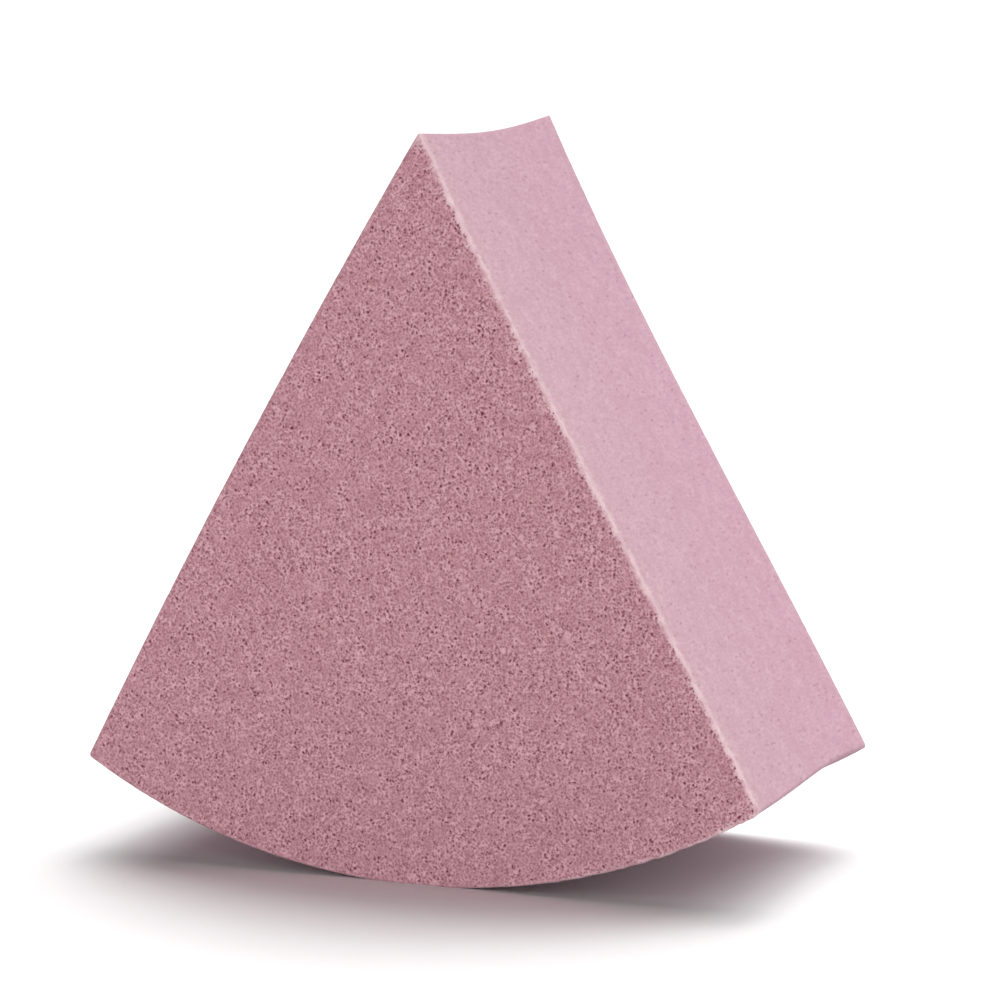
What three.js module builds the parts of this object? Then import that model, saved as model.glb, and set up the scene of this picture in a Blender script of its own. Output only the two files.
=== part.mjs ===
// A powder puff cut as a wedge: one slice of a round foam cake, standing on its arc with its
// apex up. Millimetres, +Z up. The origin is on the floor under the middle of the slice,
// +X runs to its right and its front faces -Y.
import * as THREE from "three";

// Sizes of the slice
const straightEdge = 51; // along each knife cut, from the apex to a corner of the arc
const sectorAngle = 58; // degrees between the two knife cuts
const arcRise = 7.5; // how far the arc swells past the chord between its corners
const thickness = 25; // of the foam sheet that the cake is cut from
const waistDepth = 0.26; // how far the soft walls draw in between the two faces
const rimRound = 0.3; // rounding where the walls meet the two faces
const footDepth = 0.5; // how deep the arc is flat where the slice stands

// Fineness of the facets
const arcSteps = 36; // along the whole arc
const waistSteps = 12; // across the drawn-in walls
const rimSteps = 3; // around each rounded rim

// Worked out from the sizes
const halfAngle = THREE.MathUtils.degToRad(sectorAngle / 2);
const halfChord = straightEdge * Math.sin(halfAngle);
const apexHeight = straightEdge * Math.cos(halfAngle) + arcRise - footDepth;
const arcRadius = (halfChord ** 2 + arcRise ** 2) / (2 * arcRise);
const arcCentre = arcRadius - footDepth; // its height above the floor

// The outline in X and Z of one section of the slice, with all its sides moved in by inset:
// from the apex down to the left corner, along the arc and its flat foot, to the right corner.
function sliceOutline(inset) {
  const apex = apexHeight - inset / Math.sin(halfAngle);
  const radius = arcRadius - inset;
  const apexDrop = apex - arcCentre;
  const reach = Math.sqrt(radius ** 2 - (apexDrop * Math.sin(halfAngle)) ** 2);
  const edge = apexDrop * Math.cos(halfAngle) + reach;
  const cornerTurn = Math.asin((edge * Math.sin(halfAngle)) / radius);
  const facetTurn = cornerTurn / arcSteps; // the foot is never narrower than one facet
  const footTurn = Math.max(Math.acos(Math.min(1, arcCentre / radius)), facetTurn);
  const sideSteps = arcSteps / 2;
  const left = [];
  for (let step = 0; step <= sideSteps; step++) {
    const turn = THREE.MathUtils.lerp(cornerTurn, footTurn, step / sideSteps);
    left.push(new THREE.Vector2(-radius * Math.sin(turn), arcCentre - radius * Math.cos(turn)));
  }
  const right = left.map((point) => new THREE.Vector2(-point.x, point.y)).reverse();
  return [new THREE.Vector2(0, apex), ...left, ...right];
}

// The sections from the front face to the back face: a rounded rim, the drawn-in walls and
// the other rim. Each one is a place along the thickness and how far its sides move in.
function sliceSections() {
  const front = -thickness / 2;
  const frontRim = [];
  for (let step = 0; step < rimSteps; step++) {
    const turn = (Math.PI / 2) * (step / rimSteps);
    const place = front + rimRound * (1 - Math.cos(turn));
    frontRim.push({ place, inset: rimRound * (1 - Math.sin(turn)) });
  }
  const walls = [];
  for (let step = 0; step <= waistSteps; step++) {
    const share = step / waistSteps;
    const place = front + rimRound + share * (thickness - 2 * rimRound);
    walls.push({ place, inset: waistDepth * Math.sin(Math.PI * share) });
  }
  const backRim = frontRim.map(({ place, inset }) => ({ place: -place, inset })).reverse();
  return [...frontRim, ...walls, ...backRim];
}

// A closed body through a row of outlines that have the same number of points.
function loftedGeometry(sections) {
  const outlines = sections.map(({ inset }) => sliceOutline(inset));
  const count = outlines[0].length;
  const positions = [];
  sections.forEach(({ place }, row) => {
    for (const point of outlines[row]) {
      positions.push(point.x, place, point.y);
    }
  });
  const index = [];
  for (let row = 0; row < sections.length - 1; row++) {
    for (let column = 0; column < count; column++) {
      const here = row * count + column;
      const beside = row * count + ((column + 1) % count);
      index.push(here, beside + count, beside, here, here + count, beside + count);
    }
  }
  const backStart = (sections.length - 1) * count;
  for (const [a, b, c] of THREE.ShapeUtils.triangulateShape(outlines[0], [])) {
    index.push(a, b, c);
    index.push(backStart + a, backStart + c, backStart + b);
  }
  const geometry = new THREE.BufferGeometry();
  geometry.setAttribute("position", new THREE.Float32BufferAttribute(positions, 3));
  geometry.setIndex(index);
  geometry.computeVertexNormals();
  return geometry;
}

const foam = new THREE.MeshStandardMaterial({ color: "#c79dab", roughness: 0.95, metalness: 0 });
const wedge = new THREE.Mesh(loftedGeometry(sliceSections()), foam);
wedge.name = "foam_wedge";

const puff = new THREE.Group();
puff.add(wedge);

export default puff;
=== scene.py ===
# A powder puff cut as a wedge of make-up foam, standing on its arc on a white table.
import math

import bpy
import numpy as np
from mathutils import Matrix, Vector


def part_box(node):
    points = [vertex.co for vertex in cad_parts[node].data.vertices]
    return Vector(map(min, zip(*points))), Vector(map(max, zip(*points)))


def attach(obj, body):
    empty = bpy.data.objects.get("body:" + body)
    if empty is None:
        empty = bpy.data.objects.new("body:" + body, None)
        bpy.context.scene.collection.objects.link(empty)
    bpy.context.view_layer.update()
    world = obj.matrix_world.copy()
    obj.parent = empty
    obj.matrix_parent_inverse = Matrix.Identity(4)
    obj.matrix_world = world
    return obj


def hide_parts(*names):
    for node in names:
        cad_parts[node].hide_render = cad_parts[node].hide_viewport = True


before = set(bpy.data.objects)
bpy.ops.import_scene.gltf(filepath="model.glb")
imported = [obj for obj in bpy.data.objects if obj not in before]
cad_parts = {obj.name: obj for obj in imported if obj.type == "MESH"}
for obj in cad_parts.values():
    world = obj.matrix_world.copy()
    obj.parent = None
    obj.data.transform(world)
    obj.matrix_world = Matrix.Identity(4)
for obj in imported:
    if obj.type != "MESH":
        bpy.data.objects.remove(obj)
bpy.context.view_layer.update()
mm = 0.001  # every length below is written in millimetres
noiseSpan = (0.3, 0.7)  # where nearly all values of a noise texture lie


# Each input is a link from a node's first output or from a socket, or else a plain value
def addNode(tree, kind, inputs=(), **settings):
    node = tree.nodes.new(kind)
    for name, value in settings.items():
        setattr(node, name, value)
    pairs = inputs.items() if isinstance(inputs, dict) else enumerate(inputs)
    for key, value in pairs:
        if isinstance(value, bpy.types.Node):
            tree.links.new(value.outputs[0], node.inputs[key])
        elif isinstance(value, bpy.types.NodeSocket):
            tree.links.new(value, node.inputs[key])
        else:
            node.inputs[key].default_value = value
    return node


def linearColour(hexText):
    parts = [int(hexText[start:start + 2], 16) / 255 for start in (1, 3, 5)]
    return tuple(((p + 0.055) / 1.055) ** 2.4 if p > 0.04045 else p / 12.92 for p in parts) + (1.0,)


def newMaterial(name):
    material = bpy.data.materials.new(name)
    material.use_nodes = True
    material.node_tree.nodes.clear()
    return material, material.node_tree


# The camera, at the photograph's viewing angle
view = {
    "place": (114.3, -289.9, 69.5),
    "azimuth": 21.31,  # degrees
    "elevation": 8.12,
    "roll": 0.38,
    "lens": 160.7,
    "sensor": 36.0,
    "farthest": 20000.0,  # that it sees
}


def makeCamera():
    data = bpy.data.cameras.new("photoCamera")
    data.sensor_width = view["sensor"]
    data.lens = view["lens"]
    data.clip_end = view["farthest"] * mm
    camera = bpy.data.objects.new("photoCamera", data)
    bpy.context.scene.collection.objects.link(camera)
    turn = Matrix.Rotation(math.radians(view["azimuth"]), 4, "Z")
    tilt = Matrix.Rotation(math.radians(90.0 - view["elevation"]), 4, "X")
    roll = Matrix.Rotation(math.radians(view["roll"]), 4, "Z")
    camera.matrix_world = Matrix.Translation(Vector(view["place"]) * mm) @ turn @ tilt @ roll
    bpy.context.scene.camera = camera


makeCamera()
print("camera placed")

# The foam wedge: its form, its pores and the ragged lip along its rims
wedge = {
    "node": "foam_wedge",
    "sectorAngle": 58.0,  # degrees between the two cut walls
    "waistDepth": 0.26,  # how far the walls draw in
    "apexWaistPlace": 0.53,  # where they draw in most, as a share of the thickness from the front
    "arcWaistPlace": 0.7,
    "leftBow": 0.57,  # how far the left cut leans to the left at its middle
    "leftSpread": 0.24,  # and at the arc
    "rightBow": 0.3,  # how far the right cut leans to the left at most, a third of the way down
    "rightBackBow": 0.51,  # and at the back
    "tipBlunt": 0.1,  # how much lower the worn apex is than a sharp one
    "footDepth": 0.12,  # how deep the arc is flat where it stands
    "cornerRound": 0.2,  # where the walls meet the arc
    "rimRound": 0.22,  # where the walls meet the two faces
    "meshStep": 0.08,  # between mesh points on the faces, fine enough for the pores
    "quickStep": 0.4,
    "wallStep": 0.2,  # through the walls, on average
    "wallGrading": 0.7,  # how much closer the points lie at the rims than between them
    "seamGap": 0.001,  # points closer than this are joined where faces and walls meet
    "wallBlend": 0.1,  # from the rim to where a wall has its own look in full
    "bubbleSize": 0.3,  # of the foam's larger cells
    "openRadius": 0.45,  # of a cut bubble, as a share of its size
    "floorRadius": 0.05,  # of its deepest part
    "leastOpen": 0.1,  # how open the most closed bubble is
    "ringRadius": 0.66,  # of the raised ring round a bubble
    "ringWidth": 0.2,
    "ringRise": 0.3,  # as a share of the pores' depth
    "bendSize": 0.45,  # of the bends that make the cells uneven
    "bendReach": 0.18,  # how far they shift a cell
    "patchSize": 0.8,  # of calm and of open patches of cells
    "calmPatch": 0.7,  # how strongly the cells show there
    "openPatch": 1.3,
    "wallDraw": (0.85, 0.3, 0.85),  # scale of the cells' pattern on the walls, drawn out by the knife
    "poreDepth": 0.07,  # on the two flat faces
    "wallPoreDepth": 0.005,  # on the smooth cut walls
    "poreFade": 0.35,  # from the rim to where the pores are fully open
    "rimPores": 0.2,  # share of their depth at the rim itself
    "lipHeight": 0.11,  # of the foam that the knife dragged out along the right cut's front rim
    "lipShare": 0.15,  # of that height along the other rims
    "lipTear": -0.5,  # how far it is torn in between its rags, as a share of its height
    "lipWidth": 0.7,  # away from the rim
    "lipWave": 0.6,  # size of the rags
    "seed": 7.0,  # of the rags and of the mottling
    "sheet": 106.0,  # side of the flat layout that the colours are unwrapped on
    "sheetGap": 1.0,  # between the patches on it
}
low, high = (Vector(corner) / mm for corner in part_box(wedge["node"]))
height = high.z - low.z
thickness = high.y - low.y
halfAngle = math.radians(wedge["sectorAngle"] / 2)
straightEdge = (high.x - low.x) / 2 / math.sin(halfAngle)
arcRise = height - straightEdge * math.cos(halfAngle) + wedge["footDepth"]
halfChord = straightEdge * math.sin(halfAngle)
arcRadius = (halfChord ** 2 + arcRise ** 2) / (2 * arcRise)
inscribedRadius = height * math.sin(halfAngle) / (1 + math.sin(halfAngle))


# A blank holds the wedge's points as shares: across the angle, through the thickness and
# down from the apex. Each patch is its points, its triangles and its place on the flat sheet.
def facePatch(steps, deep, sheetApex):
    row = np.repeat(np.arange(steps + 1), np.arange(1, steps + 2))
    column = np.arange(row.size) - row * (row + 1) // 2
    across = np.where(row > 0, column / np.maximum(row, 1), 0.5)
    points = np.stack([across, np.full(row.size, deep), row / steps], axis=1)
    upper = np.flatnonzero(row < steps)
    below = upper + row[upper] + 1
    pointingUp = np.stack([upper, below, below + 1], axis=1)
    left = np.flatnonzero((row < steps) & (column < row))
    between = left + row[left] + 2
    pointingDown = np.stack([left, between, left + 1], axis=1)
    triangles = np.concatenate([pointingUp, pointingDown])
    turn = (across - 0.5) * 2 * halfAngle
    reach = points[:, 2] * straightEdge
    sheet = np.stack([sheetApex[0] + reach * np.sin(turn), sheetApex[1] - reach * np.cos(turn)], axis=1)
    return points, triangles if deep < 0.5 else triangles[:, ::-1], sheet


def wallPatch(longSteps, deepSteps, across, down, sheetCorner, turned):
    even = np.linspace(0, 1, deepSteps + 1)
    graded = even - wedge["wallGrading"] * np.sin(2 * math.pi * even) / (2 * math.pi)
    along, deep = (grid.ravel() for grid in np.meshgrid(
        np.linspace(0, 1, longSteps + 1), graded, indexing="ij"))
    points = np.stack([
        along if across is None else np.full(along.size, across), deep,
        along if down is None else np.full(along.size, down)], axis=1)
    start = (np.arange(longSteps)[:, None] * (deepSteps + 1) + np.arange(deepSteps)).ravel()
    ahead = start + deepSteps + 1
    triangles = np.concatenate([
        np.stack([start, ahead, ahead + 1], axis=1), np.stack([start, ahead + 1, start + 1], axis=1)])
    sheet = np.stack([sheetCorner[0] + deep * thickness, sheetCorner[1] + along * straightEdge], axis=1)
    return points, triangles[:, ::-1] if turned else triangles, sheet


def makeBlank():
    longSteps = round(straightEdge / wedge["meshStep"])
    deepSteps = round(thickness / wedge["wallStep"])
    gap = wedge["sheetGap"]
    apexRow = wedge["sheet"] - gap
    patches = [
        facePatch(longSteps, 0.0, (halfChord + gap, apexRow)),
        facePatch(longSteps, 1.0, (3 * halfChord + 2 * gap, apexRow)),
        wallPatch(longSteps, deepSteps, 0.0, None, (gap, gap), True),
        wallPatch(longSteps, deepSteps, 1.0, None, (2 * gap + thickness, gap), False),
        wallPatch(longSteps, deepSteps, None, 1.0, (3 * gap + 2 * thickness, gap), True),
    ]
    starts = np.cumsum([0] + [len(points) for points, triangles, sheet in patches])
    points = np.concatenate([patch[0] for patch in patches])
    corners = np.concatenate([patch[1] + start for patch, start in zip(patches, starts)]).ravel()
    sheet = np.concatenate([patch[2] for patch in patches]) / wedge["sheet"]
    mesh = bpy.data.meshes.new("foamWedge")
    mesh.vertices.add(len(points))
    mesh.vertices.foreach_set("co", points.astype(np.float32).ravel())
    mesh.loops.add(len(corners))
    mesh.loops.foreach_set("vertex_index", corners.astype(np.int32))
    mesh.polygons.add(len(corners) // 3)
    mesh.polygons.foreach_set("loop_start", np.arange(0, len(corners), 3, dtype=np.int32))
    mesh.uv_layers.new(name="OFBake")
    mesh.uv_layers["OFBake"].uv.foreach_set("vector", sheet[corners].astype(np.float32).ravel())
    mesh.update(calc_edges=True)
    return mesh


# The cells of the foam, for the form and for the colour alike: bubbles that a cut opens, the
# raised rings round them, how open each patch of them is, and the uneven places they lie at.
def addCells(tree, rest, onWall, bubbleScale):
    bend = addNode(tree, "ShaderNodeTexNoise", {
        "Vector": rest, "Scale": 1 / (wedge["bendSize"] * mm), "Detail": 0.0})
    bendWay = addNode(tree, "ShaderNodeVectorMath", {
        0: bend.outputs["Color"], 1: (0.5, 0.5, 0.5)}, operation="SUBTRACT")
    bent = addNode(tree, "ShaderNodeVectorMath", {
        0: bendWay, 1: (wedge["bendReach"] * mm,) * 3, 2: rest}, operation="MULTIPLY_ADD")
    drawn = addNode(tree, "ShaderNodeVectorMath", {0: bent, 1: wedge["wallDraw"]}, operation="MULTIPLY")
    place = addNode(tree, "ShaderNodeMix", {0: onWall, 4: bent, 5: drawn}, data_type="VECTOR").outputs[1]
    bubbles = addNode(tree, "ShaderNodeTexVoronoi", {"Vector": place, "Scale": bubbleScale})
    fromMiddle = bubbles.outputs["Distance"]
    chance = addNode(tree, "ShaderNodeSeparateXYZ", (bubbles.outputs["Color"],)).outputs[0]
    openShare = addNode(tree, "ShaderNodeMath", (
        chance, wedge["leastOpen"]), operation="ADD", use_clamp=True)
    hollow = addNode(tree, "ShaderNodeMapRange", {
        "Value": fromMiddle, "From Min": wedge["openRadius"], "From Max": wedge["floorRadius"]},
        interpolation_type="SMOOTHSTEP")
    pore = addNode(tree, "ShaderNodeMath", (hollow, openShare), operation="MULTIPLY")
    fromRing = addNode(tree, "ShaderNodeMath", (fromMiddle, wedge["ringRadius"]), operation="SUBTRACT")
    ringGap = addNode(tree, "ShaderNodeMath", (fromRing,), operation="ABSOLUTE")
    ringShare = addNode(tree, "ShaderNodeMapRange", {
        "Value": ringGap, "From Min": wedge["ringWidth"], "From Max": 0.0})
    ring = addNode(tree, "ShaderNodeMath", (ringShare, chance), operation="MULTIPLY")
    patches = addNode(tree, "ShaderNodeTexNoise", {
        "Vector": rest, "Scale": 1 / (wedge["patchSize"] * mm), "Detail": 0.0})
    patch = addNode(tree, "ShaderNodeMapRange", {
        "Value": patches, "From Min": noiseSpan[0], "From Max": noiseSpan[1],
        "To Min": wedge["calmPatch"], "To Max": wedge["openPatch"]})
    return pore, ring, patch, place


def wedgeTree(material):
    tree = bpy.data.node_groups.new("foamWedgeNodes", "GeometryNodeTree")
    tree.interface.new_socket("Geometry", in_out="INPUT", socket_type="NodeSocketGeometry")
    tree.interface.new_socket("Geometry", in_out="OUTPUT", socket_type="NodeSocketGeometry")
    sizes = {
        "Height": height * mm,
        "Thickness": thickness * mm,
        "Half Angle": halfAngle,
        "Arc Radius": arcRadius * mm,
        "Arc Centre": (arcRadius - wedge["footDepth"]) * mm,
        "Waist Depth": wedge["waistDepth"] * mm,
        # a power that moves the deepest place from the middle
        "Apex Waist Skew": math.log(0.5) / math.log(wedge["apexWaistPlace"]),
        "Arc Waist Skew": math.log(0.5) / math.log(wedge["arcWaistPlace"]),
        "Centre Height": inscribedRadius * mm,
        "Left Bow": wedge["leftBow"] * mm,
        "Left Spread": wedge["leftSpread"] * mm,
        "Right Bow": wedge["rightBow"] * mm,
        "Right Back Bow": wedge["rightBackBow"] * mm,
        "Tip Blunt": wedge["tipBlunt"] * mm,
        "Corner Round": wedge["cornerRound"] * mm,
        "Rim Round": wedge["rimRound"] * mm,
        "Bubble Size": wedge["bubbleSize"] * mm,
        "Pore Depth": wedge["poreDepth"] * mm,
        "Wall Pore Depth": wedge["wallPoreDepth"] * mm,
        "Pore Fade": wedge["poreFade"],
        "Lip Height": wedge["lipHeight"] * mm,
        "Lip Share": wedge["lipShare"],
        "Lip Width": wedge["lipWidth"],
        "Lip Wave": wedge["lipWave"] * mm,
        "Seed": wedge["seed"],
    }
    inputValues = {}
    for name, size in sizes.items():
        socket = tree.interface.new_socket(name, in_out="INPUT", socket_type="NodeSocketFloat")
        inputValues[socket.identifier] = size
    given = addNode(tree, "NodeGroupInput").outputs

    # The form: an angle across, a reach down from the apex to the arc, and a place through
    place = addNode(tree, "GeometryNodeInputPosition")
    share = addNode(tree, "ShaderNodeSeparateXYZ", (place,)).outputs
    across, through, down = share[0], share[1], share[2]
    middle = addNode(tree, "ShaderNodeMath", (across, 0.5), operation="SUBTRACT")
    sector = addNode(tree, "ShaderNodeMath", (given["Half Angle"], 2.0), operation="MULTIPLY")
    turn = addNode(tree, "ShaderNodeMath", (middle, sector), operation="MULTIPLY")
    sine = addNode(tree, "ShaderNodeMath", (turn,), operation="SINE")
    cosine = addNode(tree, "ShaderNodeMath", (turn,), operation="COSINE")
    apexDrop = addNode(tree, "ShaderNodeMath", (given["Height"], given["Arc Centre"]), operation="SUBTRACT")
    aside = addNode(tree, "ShaderNodeMath", (apexDrop, sine), operation="MULTIPLY")
    asideSquare = addNode(tree, "ShaderNodeMath", (aside, aside), operation="MULTIPLY")
    arcSquare = addNode(tree, "ShaderNodeMath", (given["Arc Radius"], 2.0), operation="POWER")
    chordSquare = addNode(tree, "ShaderNodeMath", (arcSquare, asideSquare), operation="SUBTRACT")
    chord = addNode(tree, "ShaderNodeMath", (chordSquare,), operation="SQRT")
    sharpReach = addNode(tree, "ShaderNodeMath", (apexDrop, cosine, chord), operation="MULTIPLY_ADD")
    leftTurn = addNode(tree, "ShaderNodeMath", (given["Half Angle"], turn), operation="ADD")
    rightTurn = addNode(tree, "ShaderNodeMath", (given["Half Angle"], turn), operation="SUBTRACT")
    nearTurn = addNode(tree, "ShaderNodeMath", (leftTurn, rightTurn), operation="MINIMUM")

    # The corners of the arc are rounded, and the apex is worn a little
    cornerGap = addNode(tree, "ShaderNodeMath", (nearTurn, sharpReach), operation="MULTIPLY")
    inRound = addNode(tree, "ShaderNodeMapRange", {
        "Value": cornerGap, "From Min": given["Corner Round"], "From Max": 0.0})
    roundSquare = addNode(tree, "ShaderNodeMath", (inRound, inRound), operation="MULTIPLY")
    roundLeft = addNode(tree, "ShaderNodeMath", (1.0, roundSquare), operation="SUBTRACT")
    roundRise = addNode(tree, "ShaderNodeMath", (roundLeft,), operation="SQRT")
    roundShare = addNode(tree, "ShaderNodeMath", (1.0, roundRise), operation="SUBTRACT")
    roundDrop = addNode(tree, "ShaderNodeMath", (roundShare, given["Corner Round"]), operation="MULTIPLY")
    reach = addNode(tree, "ShaderNodeMath", (sharpReach, roundDrop), operation="SUBTRACT")
    radius = addNode(tree, "ShaderNodeMath", (down, reach), operation="MULTIPLY")
    side = addNode(tree, "ShaderNodeMath", (radius, sine), operation="MULTIPLY")
    sharpDrop = addNode(tree, "ShaderNodeMath", (radius, cosine), operation="MULTIPLY")
    dropSquare = addNode(tree, "ShaderNodeMath", (sharpDrop, sharpDrop), operation="MULTIPLY")
    tipSquare = addNode(tree, "ShaderNodeMath", (given["Tip Blunt"], 2.0), operation="POWER")
    bluntSquare = addNode(tree, "ShaderNodeMath", (dropSquare, tipSquare), operation="ADD")
    drop = addNode(tree, "ShaderNodeMath", (bluntSquare,), operation="SQRT")
    rise = addNode(tree, "ShaderNodeMath", (given["Height"], drop), operation="SUBTRACT")

    # How far each point is from the rim between a flat face and a wall
    throughBack = addNode(tree, "ShaderNodeMath", (1.0, through), operation="SUBTRACT")
    throughGap = addNode(tree, "ShaderNodeMath", (through, throughBack), operation="MINIMUM")
    wallGap = addNode(tree, "ShaderNodeMath", (throughGap, given["Thickness"]), operation="MULTIPLY")
    nearSine = addNode(tree, "ShaderNodeMath", (nearTurn,), operation="SINE")
    cutGap = addNode(tree, "ShaderNodeMath", (radius, nearSine), operation="MULTIPLY")
    upShare = addNode(tree, "ShaderNodeMath", (1.0, down), operation="SUBTRACT")
    arcGap = addNode(tree, "ShaderNodeMath", (upShare, reach), operation="MULTIPLY")
    faceGap = addNode(tree, "ShaderNodeMath", (cutGap, arcGap), operation="MINIMUM")
    rimGap = addNode(tree, "ShaderNodeMath", (wallGap, faceGap), operation="MAXIMUM")
    rimMm = addNode(tree, "ShaderNodeMath", (rimGap, mm), operation="DIVIDE")
    onWall = addNode(tree, "ShaderNodeMapRange", {
        "Value": wallGap, "From Max": wedge["wallBlend"] * mm}, interpolation_type="SMOOTHSTEP")

    # The rims are rounded: a quarter circle, half of it on the face and half on the wall
    rimRound = given["Rim Round"]
    flatRound = addNode(tree, "ShaderNodeMath", (rimRound, -1.0), operation="MULTIPLY")
    pastRim = addNode(tree, "ShaderNodeMath", (wallGap, faceGap), operation="SUBTRACT")
    rimTurn = addNode(tree, "ShaderNodeMapRange", {
        "Value": pastRim, "From Min": flatRound, "From Max": rimRound, "To Max": math.pi / 2})
    rimSine = addNode(tree, "ShaderNodeMath", (rimTurn,), operation="SINE")
    rimCosine = addNode(tree, "ShaderNodeMath", (rimTurn,), operation="COSINE")
    faceNear = addNode(tree, "ShaderNodeMath", (faceGap, rimRound), operation="MINIMUM")
    wallNear = addNode(tree, "ShaderNodeMath", (wallGap, rimRound), operation="MINIMUM")
    faceKept = addNode(tree, "ShaderNodeMath", (rimRound, faceNear), operation="SUBTRACT")
    wallKept = addNode(tree, "ShaderNodeMath", (rimRound, wallNear), operation="SUBTRACT")
    rimIn = addNode(tree, "ShaderNodeMath", (rimSine, flatRound, faceKept), operation="MULTIPLY_ADD")
    rimDeep = addNode(tree, "ShaderNodeMath", (rimCosine, flatRound, wallKept), operation="MULTIPLY_ADD")

    # The soft walls draw in towards the middle of each section
    skew = addNode(tree, "ShaderNodeMix", {0: down, 2: given["Apex Waist Skew"], 3: given["Arc Waist Skew"]})
    skewed = addNode(tree, "ShaderNodeMath", (through, skew), operation="POWER")
    halfTurn = addNode(tree, "ShaderNodeMath", (skewed, math.pi), operation="MULTIPLY")
    swell = addNode(tree, "ShaderNodeMath", (halfTurn,), operation="SINE")
    drawIn = addNode(tree, "ShaderNodeMath", (swell, given["Waist Depth"], rimIn), operation="MULTIPLY_ADD")
    drawShare = addNode(tree, "ShaderNodeMath", (drawIn, given["Centre Height"]), operation="DIVIDE")
    keep = addNode(tree, "ShaderNodeMath", (1.0, drawShare), operation="SUBTRACT")
    sideIn = addNode(tree, "ShaderNodeMath", (side, keep), operation="MULTIPLY")
    above = addNode(tree, "ShaderNodeMath", (rise, given["Centre Height"]), operation="SUBTRACT")
    riseFree = addNode(tree, "ShaderNodeMath", (
        above, keep, given["Centre Height"]), operation="MULTIPLY_ADD")
    riseIn = addNode(tree, "ShaderNodeMath", (riseFree, 0.0), operation="MAXIMUM")

    # Both cuts lean a little to the left between the apex and the arc. The factors 4 and 6.75 bring
    # each hump to 1 where it is highest, at the middle and a third of the way down.
    hump = addNode(tree, "ShaderNodeMath", (down, upShare), operation="MULTIPLY")
    leftHump = addNode(tree, "ShaderNodeMath", (hump, 4.0), operation="MULTIPLY")
    leftSpread = addNode(tree, "ShaderNodeMath", (down, given["Left Spread"]), operation="MULTIPLY")
    leftLean = addNode(tree, "ShaderNodeMath", (
        leftHump, given["Left Bow"], leftSpread), operation="MULTIPLY_ADD")
    highHump = addNode(tree, "ShaderNodeMath", (hump, upShare), operation="MULTIPLY")
    rightHump = addNode(tree, "ShaderNodeMath", (highHump, 6.75), operation="MULTIPLY")
    rightBow = addNode(tree, "ShaderNodeMix", {
        0: through, 2: given["Right Bow"], 3: given["Right Back Bow"]})
    rightLean = addNode(tree, "ShaderNodeMath", (rightHump, rightBow), operation="MULTIPLY")
    lean = addNode(tree, "ShaderNodeMix", {0: across, 2: leftLean, 3: rightLean})
    sideBowed = addNode(tree, "ShaderNodeMath", (sideIn, lean), operation="SUBTRACT")
    deepMiddle = addNode(tree, "ShaderNodeMath", (through, 0.5), operation="SUBTRACT")
    flatDeep = addNode(tree, "ShaderNodeMath", (deepMiddle, given["Thickness"]), operation="MULTIPLY")
    inFront = addNode(tree, "ShaderNodeMath", (through, 0.5), operation="LESS_THAN")
    inwards = addNode(tree, "ShaderNodeMath", (inFront, 2.0, -1.0), operation="MULTIPLY_ADD")
    deep = addNode(tree, "ShaderNodeMath", (rimDeep, inwards, flatDeep), operation="MULTIPLY_ADD")
    formed = addNode(tree, "ShaderNodeCombineXYZ", (sideBowed, deep, riseIn))

    # The lip of foam that the knife dragged out is full along the front of the right cut, and fades
    # towards the middle of the face
    frontAcross = addNode(tree, "ShaderNodeMath", (across, inFront), operation="MULTIPLY")
    lipSide = addNode(tree, "ShaderNodeMapRange", {
        "Value": frontAcross, "From Min": 0.5, "To Min": given["Lip Share"]}, interpolation_type="SMOOTHSTEP")
    kept = given["Geometry"]
    for name, kind, value in (
            ("rimGap", "FLOAT", rimMm), ("onWall", "FLOAT", onWall), ("lipSide", "FLOAT", lipSide),
            ("restPlace", "FLOAT_VECTOR", formed)):
        kept = addNode(tree, "GeometryNodeStoreNamedAttribute", {
            "Geometry": kept, "Name": name, "Value": value}, data_type=kind, domain="POINT")
    shaped = addNode(tree, "GeometryNodeSetPosition", {"Geometry": kept, "Position": formed})
    joined = addNode(tree, "GeometryNodeMergeByDistance", {
        "Geometry": shaped, "Distance": wedge["seamGap"] * mm})

    # The pores, open on the flat faces and nearly closed on the walls
    rest = addNode(tree, "GeometryNodeInputNamedAttribute", {"Name": "restPlace"}, data_type="FLOAT_VECTOR")
    wallShare = addNode(tree, "GeometryNodeInputNamedAttribute", {"Name": "onWall"}, data_type="FLOAT")
    gapMm = addNode(tree, "GeometryNodeInputNamedAttribute", {"Name": "rimGap"}, data_type="FLOAT")
    lipShare = addNode(tree, "GeometryNodeInputNamedAttribute", {"Name": "lipSide"}, data_type="FLOAT")
    bubbleScale = addNode(tree, "ShaderNodeMath", (1.0, given["Bubble Size"]), operation="DIVIDE")
    pore, ring, patch = addCells(tree, rest, wallShare, bubbleScale)[:3]
    nearRim = addNode(tree, "ShaderNodeMapRange", {
        "Value": gapMm, "From Max": given["Pore Fade"], "To Min": wedge["rimPores"]})
    depth = addNode(tree, "ShaderNodeMix", {
        0: wallShare, 2: given["Pore Depth"], 3: given["Wall Pore Depth"]})
    raised = addNode(tree, "ShaderNodeMath", (ring, wedge["ringRise"]), operation="MULTIPLY")
    hollow = addNode(tree, "ShaderNodeMath", (pore, raised), operation="SUBTRACT")
    hollowPatch = addNode(tree, "ShaderNodeMath", (hollow, patch), operation="MULTIPLY")
    hollowRim = addNode(tree, "ShaderNodeMath", (hollowPatch, nearRim), operation="MULTIPLY")
    sunk = addNode(tree, "ShaderNodeMath", (hollowRim, depth), operation="MULTIPLY")
    lift = addNode(tree, "ShaderNodeMath", (sunk, -1.0), operation="MULTIPLY")

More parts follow.
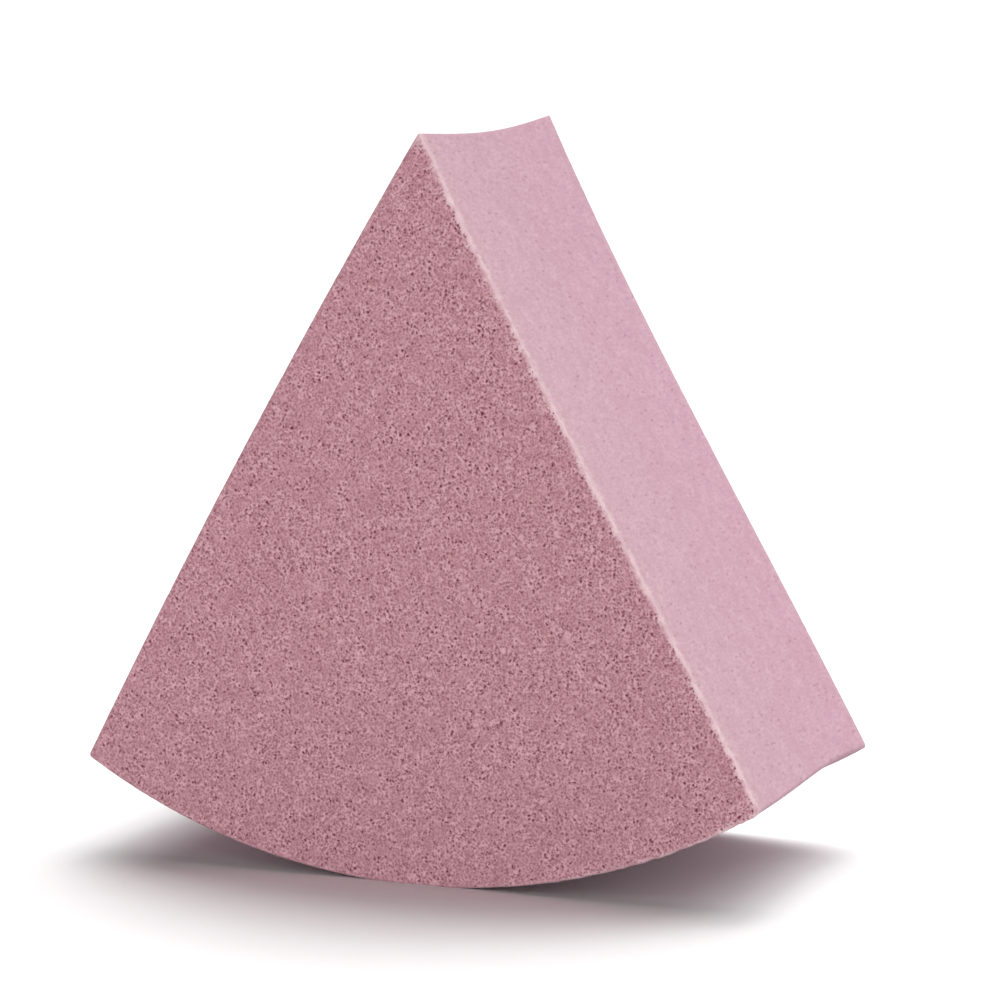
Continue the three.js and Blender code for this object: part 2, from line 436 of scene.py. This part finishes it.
    # The lip, ragged and leaning out from the wall
    lipScale = addNode(tree, "ShaderNodeMath", (1.0, given["Lip Wave"]), operation="DIVIDE")
    ragged = addNode(tree, "ShaderNodeTexNoise", {
        "Vector": rest, "W": given["Seed"], "Scale": lipScale, "Detail": 2.0}, noise_dimensions="4D")
    raggedShare = addNode(tree, "ShaderNodeMapRange", {
        "Value": ragged, "From Min": noiseSpan[0], "From Max": noiseSpan[1], "To Min": wedge["lipTear"]})
    lipNear = addNode(tree, "ShaderNodeMapRange", {
        "Value": gapMm, "From Min": given["Lip Width"], "From Max": 0.0}, interpolation_type="SMOOTHSTEP")
    lipShape = addNode(tree, "ShaderNodeMath", (lipNear, raggedShare), operation="MULTIPLY")
    lipPart = addNode(tree, "ShaderNodeMath", (lipShape, lipShare), operation="MULTIPLY")
    lip = addNode(tree, "ShaderNodeMath", (lipPart, given["Lip Height"]), operation="MULTIPLY")
    normal = addNode(tree, "GeometryNodeInputNormal")
    outwards = addNode(tree, "ShaderNodeVectorMath", {0: normal, 1: (1.0, 0.0, 1.0)}, operation="MULTIPLY")
    dragged = addNode(tree, "ShaderNodeVectorMath", {0: outwards, 3: lip}, operation="SCALE")
    poreOffset = addNode(tree, "ShaderNodeVectorMath", {0: normal, 3: lift}, operation="SCALE")
    offset = addNode(tree, "ShaderNodeVectorMath", {0: dragged, 1: poreOffset}, operation="ADD")
    porous = addNode(tree, "GeometryNodeSetPosition", {"Geometry": joined, "Offset": offset})
    whole = addNode(tree, "GeometryNodeRealizeInstances", (porous,))
    finished = addNode(tree, "GeometryNodeSetMaterial", {"Geometry": whole, "Material": material})
    addNode(tree, "NodeGroupOutput", (finished,))
    return tree, inputValues


# Foam rubber, sliced: matt, a network of pale struts round open cells on the flat faces, the cells dark with
# painted shade, and a smooth paler skin on the cut walls, palest along their rims, partly from a painted
# highlight.
foam = {
    "face": "#b17f89",  # the flat faces on the whole
    "strut": "#d4a4ae",
    # painted shade: the dark colour in the hollows of the open cells
    "pore": "#6c3241",
    "wallFront": "#bc99a4",  # the cut walls beside the front face
    # painted shade: the walls a touch darker towards the back face
    "wallBackShaded": "#bd96a4",
    "wallPale": "#dabcc7",  # their palest mottling
    "wallPoreShade": "#9d7583",
    # the pale lip: partly foam pressed paler by the knife, partly a painted highlight on the rounded rims
    "lip": "#d4b7bb",
    "poreRoughness": 1.0,
    "strutRoughness": 0.85,
    "specular": 0.2,
    "webSize": 0.165,  # of the fine web of struts between the bubbles
    "webReach": 0.8,  # from the middle of a gap in it to its struts, as a share of its size
    # painted shade in the gaps between the struts
    "webGapShade": -0.45,  # from the tone of its gaps
    "webPale": 0.35,  # to that of its struts
    # painted shade: how far the pores darken a face
    "poreShadeTone": -0.86,  # how far each kind of cell shifts the tone of a face
    # painted highlight: how far the lit rims round the pores pale a face
    "ringHighlightTone": 0.3,
    "webTone": 1.16,
    "darkestTone": -0.8,  # the tone that has a pore's colour
    "palestTone": 0.6,  # the tone that has a strut's colour
    "wallTone": 0.32,  # share of the cells' shift on the walls
    # painted shade: the specks are the dark hollows of the few open cells on the walls
    "speckFrom": 0.6,  # how open a cell is that shows as a speck there
    "speckShadeTone": -0.5,
    "mottleSize": 1.2,  # of the soft mottling
    "mottleTone": 0.22,
    "faceMottle": 0.5,  # share of that on the faces
    "rimCalm": 0.7,  # share of the cells' tone that is left on a face at its rim
    "lipLine": 1.25,  # width of the pale line along a wall's rim
    "lipWaver": 0.5,  # how far that width wavers
    # painted highlight: a faint glow on the walls along their rims
    "lipHighlightHalo": 3.0,  # width of the faint glow beside it
    "haloHighlightTone": 0.1,
    "faceLipLine": 0.3,  # width of the line along a face's rim
    "faceLipWaver": 0.25,
    "tipLength": 1.2,  # of the pale tip of each face at the apex
    "lipFray": -0.3,  # how far the cells fray both lines
    "lipFaint": 0.3,  # strength of both lines where they are faintest
    "grainSize": 0.12,  # finer than the mesh
    "grainHeight": 0.012,
}


def foamMaterial():
    material, tree = newMaterial("slicedFoamRubber")
    rest = addNode(tree, "ShaderNodeAttribute", attribute_name="restPlace").outputs["Vector"]
    onWall = addNode(tree, "ShaderNodeAttribute", attribute_name="onWall").outputs["Fac"]
    rimGap = addNode(tree, "ShaderNodeAttribute", attribute_name="rimGap").outputs["Fac"]
    lipSide = addNode(tree, "ShaderNodeAttribute", attribute_name="lipSide").outputs["Fac"]
    pore, ring, patch, cellPlace = addCells(tree, rest, onWall, 1 / (wedge["bubbleSize"] * mm))
    # A fine web of struts, with painted shade in its gaps
    webCells = addNode(tree, "ShaderNodeTexVoronoi", {
        "Vector": cellPlace, "Scale": 1 / (foam["webSize"] * mm)})
    web = addNode(tree, "ShaderNodeMapRange", {
        "Value": webCells.outputs["Distance"], "From Max": foam["webReach"],
        "To Min": foam["webGapShade"], "To Max": foam["webPale"]})
    # Painted shade darkens the pores, and a painted highlight pales the rings round them
    poreShadeTone = addNode(tree, "ShaderNodeMath", (pore, foam["poreShadeTone"]), operation="MULTIPLY")
    ringHighlightTone = addNode(tree, "ShaderNodeMath", (ring, foam["ringHighlightTone"], poreShadeTone), operation="MULTIPLY_ADD")
    evenTone = addNode(tree, "ShaderNodeMath", (web, foam["webTone"], ringHighlightTone), operation="MULTIPLY_ADD")
    cellTone = addNode(tree, "ShaderNodeMath", (evenTone, patch), operation="MULTIPLY")
    mottle = addNode(tree, "ShaderNodeTexNoise", {
        "Vector": rest, "W": wedge["seed"], "Scale": 1 / (foam["mottleSize"] * mm), "Detail": 1.0},
        noise_dimensions="4D")
    mottleTone = addNode(tree, "ShaderNodeMapRange", {
        "Value": mottle, "To Min": -foam["mottleTone"], "To Max": foam["mottleTone"]})

    # The flat faces, from dark pores to pale struts, calmer close to the rims. The pores' darkness is painted
    # shade in their hollows, and the pale rings round them are a painted highlight.
    nearRim = addNode(tree, "ShaderNodeMapRange", {
        "Value": rimGap, "From Max": wedge["poreFade"], "To Min": foam["rimCalm"]})
    rimTone = addNode(tree, "ShaderNodeMath", (cellTone, nearRim), operation="MULTIPLY")
    faceTone = addNode(tree, "ShaderNodeMath", (
        mottleTone, foam["faceMottle"], rimTone), operation="MULTIPLY_ADD")
    faceDark = addNode(tree, "ShaderNodeMapRange", {"Value": faceTone, "From Max": foam["darkestTone"]})
    faceLight = addNode(tree, "ShaderNodeMapRange", {"Value": faceTone, "From Max": foam["palestTone"]})
    darkFace = addNode(tree, "ShaderNodeMix", {
        0: faceDark, 6: linearColour(foam["face"]), 7: linearColour(foam["pore"])}, data_type="RGBA")
    face = addNode(tree, "ShaderNodeMix", {
        0: faceLight, 6: darkFace.outputs[2], 7: linearColour(foam["strut"])}, data_type="RGBA")

    # The walls, with soft mottling, slightly paler towards the front: painted shade darkens them towards the
    # back
    place = addNode(tree, "ShaderNodeSeparateXYZ", (rest,)).outputs
    backShare = addNode(tree, "ShaderNodeMapRange", {
        "Value": place[1], "From Min": -thickness / 2 * mm, "From Max": thickness / 2 * mm})
    wall = addNode(tree, "ShaderNodeMix", {
        0: backShare, 6: linearColour(foam["wallFront"]), 7: linearColour(foam["wallBackShaded"])},
        data_type="RGBA")
    softTone = addNode(tree, "ShaderNodeMath", (
        cellTone, foam["wallTone"], mottleTone), operation="MULTIPLY_ADD")
    # Painted shade in the walls' few open cells
    speck = addNode(tree, "ShaderNodeMapRange", {
        "Value": pore, "From Min": foam["speckFrom"], "From Max": 1.0, "To Max": foam["speckShadeTone"]})
    wallTone = addNode(tree, "ShaderNodeMath", (softTone, speck), operation="ADD")
    wallDark = addNode(tree, "ShaderNodeMapRange", {"Value": wallTone, "From Max": -1.0})
    wallLight = addNode(tree, "ShaderNodeMapRange", {"Value": wallTone, "From Max": 1.0})
    darkWall = addNode(tree, "ShaderNodeMix", {
        0: wallDark, 6: wall.outputs[2], 7: linearColour(foam["wallPoreShade"])}, data_type="RGBA")
    lightWall = addNode(tree, "ShaderNodeMix", {
        0: wallLight, 6: darkWall.outputs[2], 7: linearColour(foam["wallPale"])}, data_type="RGBA")

    # The pale lip along the rims, ragged on the walls and thin on the faces. It is partly foam that the knife
    # pressed paler and partly a painted highlight on the rounded rims; the faint halo beside it on the walls
    # is painted highlight only.
    ragged = addNode(tree, "ShaderNodeTexNoise", {
        "Vector": rest, "W": wedge["seed"], "Scale": 1 / (wedge["lipWave"] * mm), "Detail": 3.0},
        noise_dimensions="4D")
    waver = addNode(tree, "ShaderNodeMapRange", {
        "Value": ragged, "To Min": -1.0, "To Max": 1.0})
    evenGap = addNode(tree, "ShaderNodeMath", (cellTone, foam["lipFray"], rimGap), operation="MULTIPLY_ADD")
    wallGap = addNode(tree, "ShaderNodeMath", (waver, foam["lipWaver"], evenGap), operation="MULTIPLY_ADD")
    line = addNode(tree, "ShaderNodeMapRange", {
        "Value": wallGap, "From Min": foam["lipLine"], "From Max": 0.0}, interpolation_type="SMOOTHSTEP")
    # Painted highlight: a faint glow on the walls along their rims
    halo = addNode(tree, "ShaderNodeMapRange", {
        "Value": rimGap, "From Min": foam["lipHighlightHalo"], "From Max": 0.0, "To Max": foam["haloHighlightTone"]})
    wallLine = addNode(tree, "ShaderNodeMath", (line, halo), operation="MAXIMUM")
    lipPatch = addNode(tree, "ShaderNodeMapRange", {
        "Value": patch, "From Min": wedge["calmPatch"], "From Max": wedge["openPatch"],
        "To Min": foam["lipFaint"]})
    lipTone = addNode(tree, "ShaderNodeMath", (lipSide, lipPatch), operation="MULTIPLY")
    wallLip = addNode(tree, "ShaderNodeMath", (wallLine, lipTone), operation="MULTIPLY")
    paleWall = addNode(tree, "ShaderNodeMix", {
        0: wallLip, 6: lightWall.outputs[2], 7: linearColour(foam["lip"])}, data_type="RGBA")
    faceGap = addNode(tree, "ShaderNodeMath", (
        waver, foam["faceLipWaver"], evenGap), operation="MULTIPLY_ADD")
    faceLine = addNode(tree, "ShaderNodeMapRange", {
        "Value": faceGap, "From Min": foam["faceLipLine"], "From Max": 0.0}, interpolation_type="SMOOTHSTEP")
    sideLip = addNode(tree, "ShaderNodeMath", (faceLine, lipTone), operation="MULTIPLY")
    tipLip = addNode(tree, "ShaderNodeMapRange", {
        "Value": place[2], "From Min": (height - foam["tipLength"]) * mm, "From Max": height * mm})
    faceLip = addNode(tree, "ShaderNodeMath", (sideLip, tipLip), operation="MAXIMUM")
    paleFace = addNode(tree, "ShaderNodeMix", {
        0: faceLip, 6: face.outputs[2], 7: linearColour(foam["lip"])}, data_type="RGBA")
    colour = addNode(tree, "ShaderNodeMix", {
        0: onWall, 6: paleFace.outputs[2], 7: paleWall.outputs[2]}, data_type="RGBA")

    # The grain that is finer than the mesh
    grain = addNode(tree, "ShaderNodeTexNoise", {
        "Vector": rest, "Scale": 1 / (foam["grainSize"] * mm), "Detail": 1.0})
    bump = addNode(tree, "ShaderNodeBump", {
        "Strength": 1.0, "Distance": foam["grainHeight"] * mm, "Height": grain})
    roughness = addNode(tree, "ShaderNodeMapRange", {
        "Value": cellTone, "From Min": -foam["palestTone"], "From Max": foam["palestTone"],
        "To Min": foam["poreRoughness"], "To Max": foam["strutRoughness"]})
    shader = addNode(tree, "ShaderNodeBsdfPrincipled", {
        "Base Color": colour.outputs[2], "Roughness": roughness,
        "Specular IOR Level": foam["specular"], "Normal": bump})
    addNode(tree, "ShaderNodeOutputMaterial", {"Surface": shader})
    return material


def makeWedge():
    piece = bpy.data.objects.new("foamWedge", makeBlank())
    bpy.context.scene.collection.objects.link(piece)
    modifier = piece.modifiers.new("foamWedgeNodes", "NODES")
    modifier.node_group, inputValues = wedgeTree(foamMaterial())
    for identifier, value in inputValues.items():
        modifier[identifier] = value
    evaluated = piece.evaluated_get(bpy.context.evaluated_depsgraph_get())
    mesh = bpy.data.meshes.new_from_object(evaluated)
    piece.modifiers.remove(modifier)
    blank = piece.data
    piece.data = mesh
    bpy.data.meshes.remove(blank)
    mesh.name = "foamWedge"
    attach(piece, "root")
    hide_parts(wedge["node"])
    print("foam wedge made,", len(mesh.polygons), "faces")


makeWedge()

# A white table and studio light: broad soft lamps, and low ones that light the wedge's upright
# sides but hardly the table
studio = {
    "table": "#fbfbfb",
    "tableBounce": "#a8a8a8",  # the table as the wedge sees it, so that its front is lit evenly
    "tableSize": 8000.0,
    "sky": 0.05,  # strength of the even light all round
    "lamps": {  # strength, then spread, azimuth and elevation in degrees
        "frontLamp": (0.3, 44.0, 0.0, 35.0),
        "rightLamp": (0.57, 44.0, 120.0, 35.0),
        "rightBackLamp": (1.11, 44.0, 150.0, 55.0),
        "leftBackLamp": (1.9, 44.0, 210.0, 55.0),
        "highLamp": (0.86, 44.0, 150.0, 75.0),
        "frontLowLamp": (2.5, 1.0, 34.0, 0.6),
        "leftLowLamp": (1.33, 1.0, 270.0, 0.6),
        "backLowLamp": (0.89, 1.0, 180.0, 0.6),
    },
}


# Where the table or the sky is looked at, straight or in a gloss, and not lighting the wedge
def lookedAt(tree):
    path = addNode(tree, "ShaderNodeLightPath").outputs
    straight = addNode(tree, "ShaderNodeMath", (
        path["Is Camera Ray"], path["Is Transmission Ray"]), operation="MAXIMUM")
    return addNode(tree, "ShaderNodeMath", (straight, path["Is Glossy Ray"]), operation="MAXIMUM")


def makeStudio():
    material, tree = newMaterial("whiteTable")
    seen = lookedAt(tree)
    colour = addNode(tree, "ShaderNodeMix", {
        0: seen, 6: linearColour(studio["tableBounce"]), 7: linearColour(studio["table"])}, data_type="RGBA")
    shader = addNode(tree, "ShaderNodeBsdfDiffuse", {"Color": colour.outputs[2]})
    addNode(tree, "ShaderNodeOutputMaterial", {"Surface": shader})
    half = studio["tableSize"] / 2 * mm
    corners = [(-half, -half, 0), (half, -half, 0), (half, half, 0), (-half, half, 0)]
    mesh = bpy.data.meshes.new("whiteTable")
    mesh.from_pydata(corners, [], [(0, 1, 2, 3)])
    mesh.materials.append(material)
    table = bpy.data.objects.new("whiteTable", mesh)
    bpy.context.scene.collection.objects.link(table)

    for name, (strength, spread, azimuth, elevation) in studio["lamps"].items():
        light = bpy.data.lights.new(name, "SUN")
        light.energy = strength
        light.angle = math.radians(spread)
        lamp = bpy.data.objects.new(name, light)
        bpy.context.scene.collection.objects.link(lamp)
        turn = Matrix.Rotation(math.radians(azimuth), 4, "Z")
        lamp.matrix_world = turn @ Matrix.Rotation(math.radians(90.0 - elevation), 4, "X")

    world = bpy.data.worlds.new("studioLight")
    bpy.context.scene.world = world
    world.use_nodes = True
    tree = world.node_tree
    tree.nodes.clear()
    strength = addNode(tree, "ShaderNodeMix", {0: lookedAt(tree), 2: studio["sky"], 3: 1.0})
    sky = addNode(tree, "ShaderNodeBackground", {"Color": (1.0, 1.0, 1.0, 1.0), "Strength": strength})
    addNode(tree, "ShaderNodeOutputWorld", {"Surface": sky})


makeStudio()
bpy.context.scene.view_settings.view_transform = "Standard"
print("studio lit")
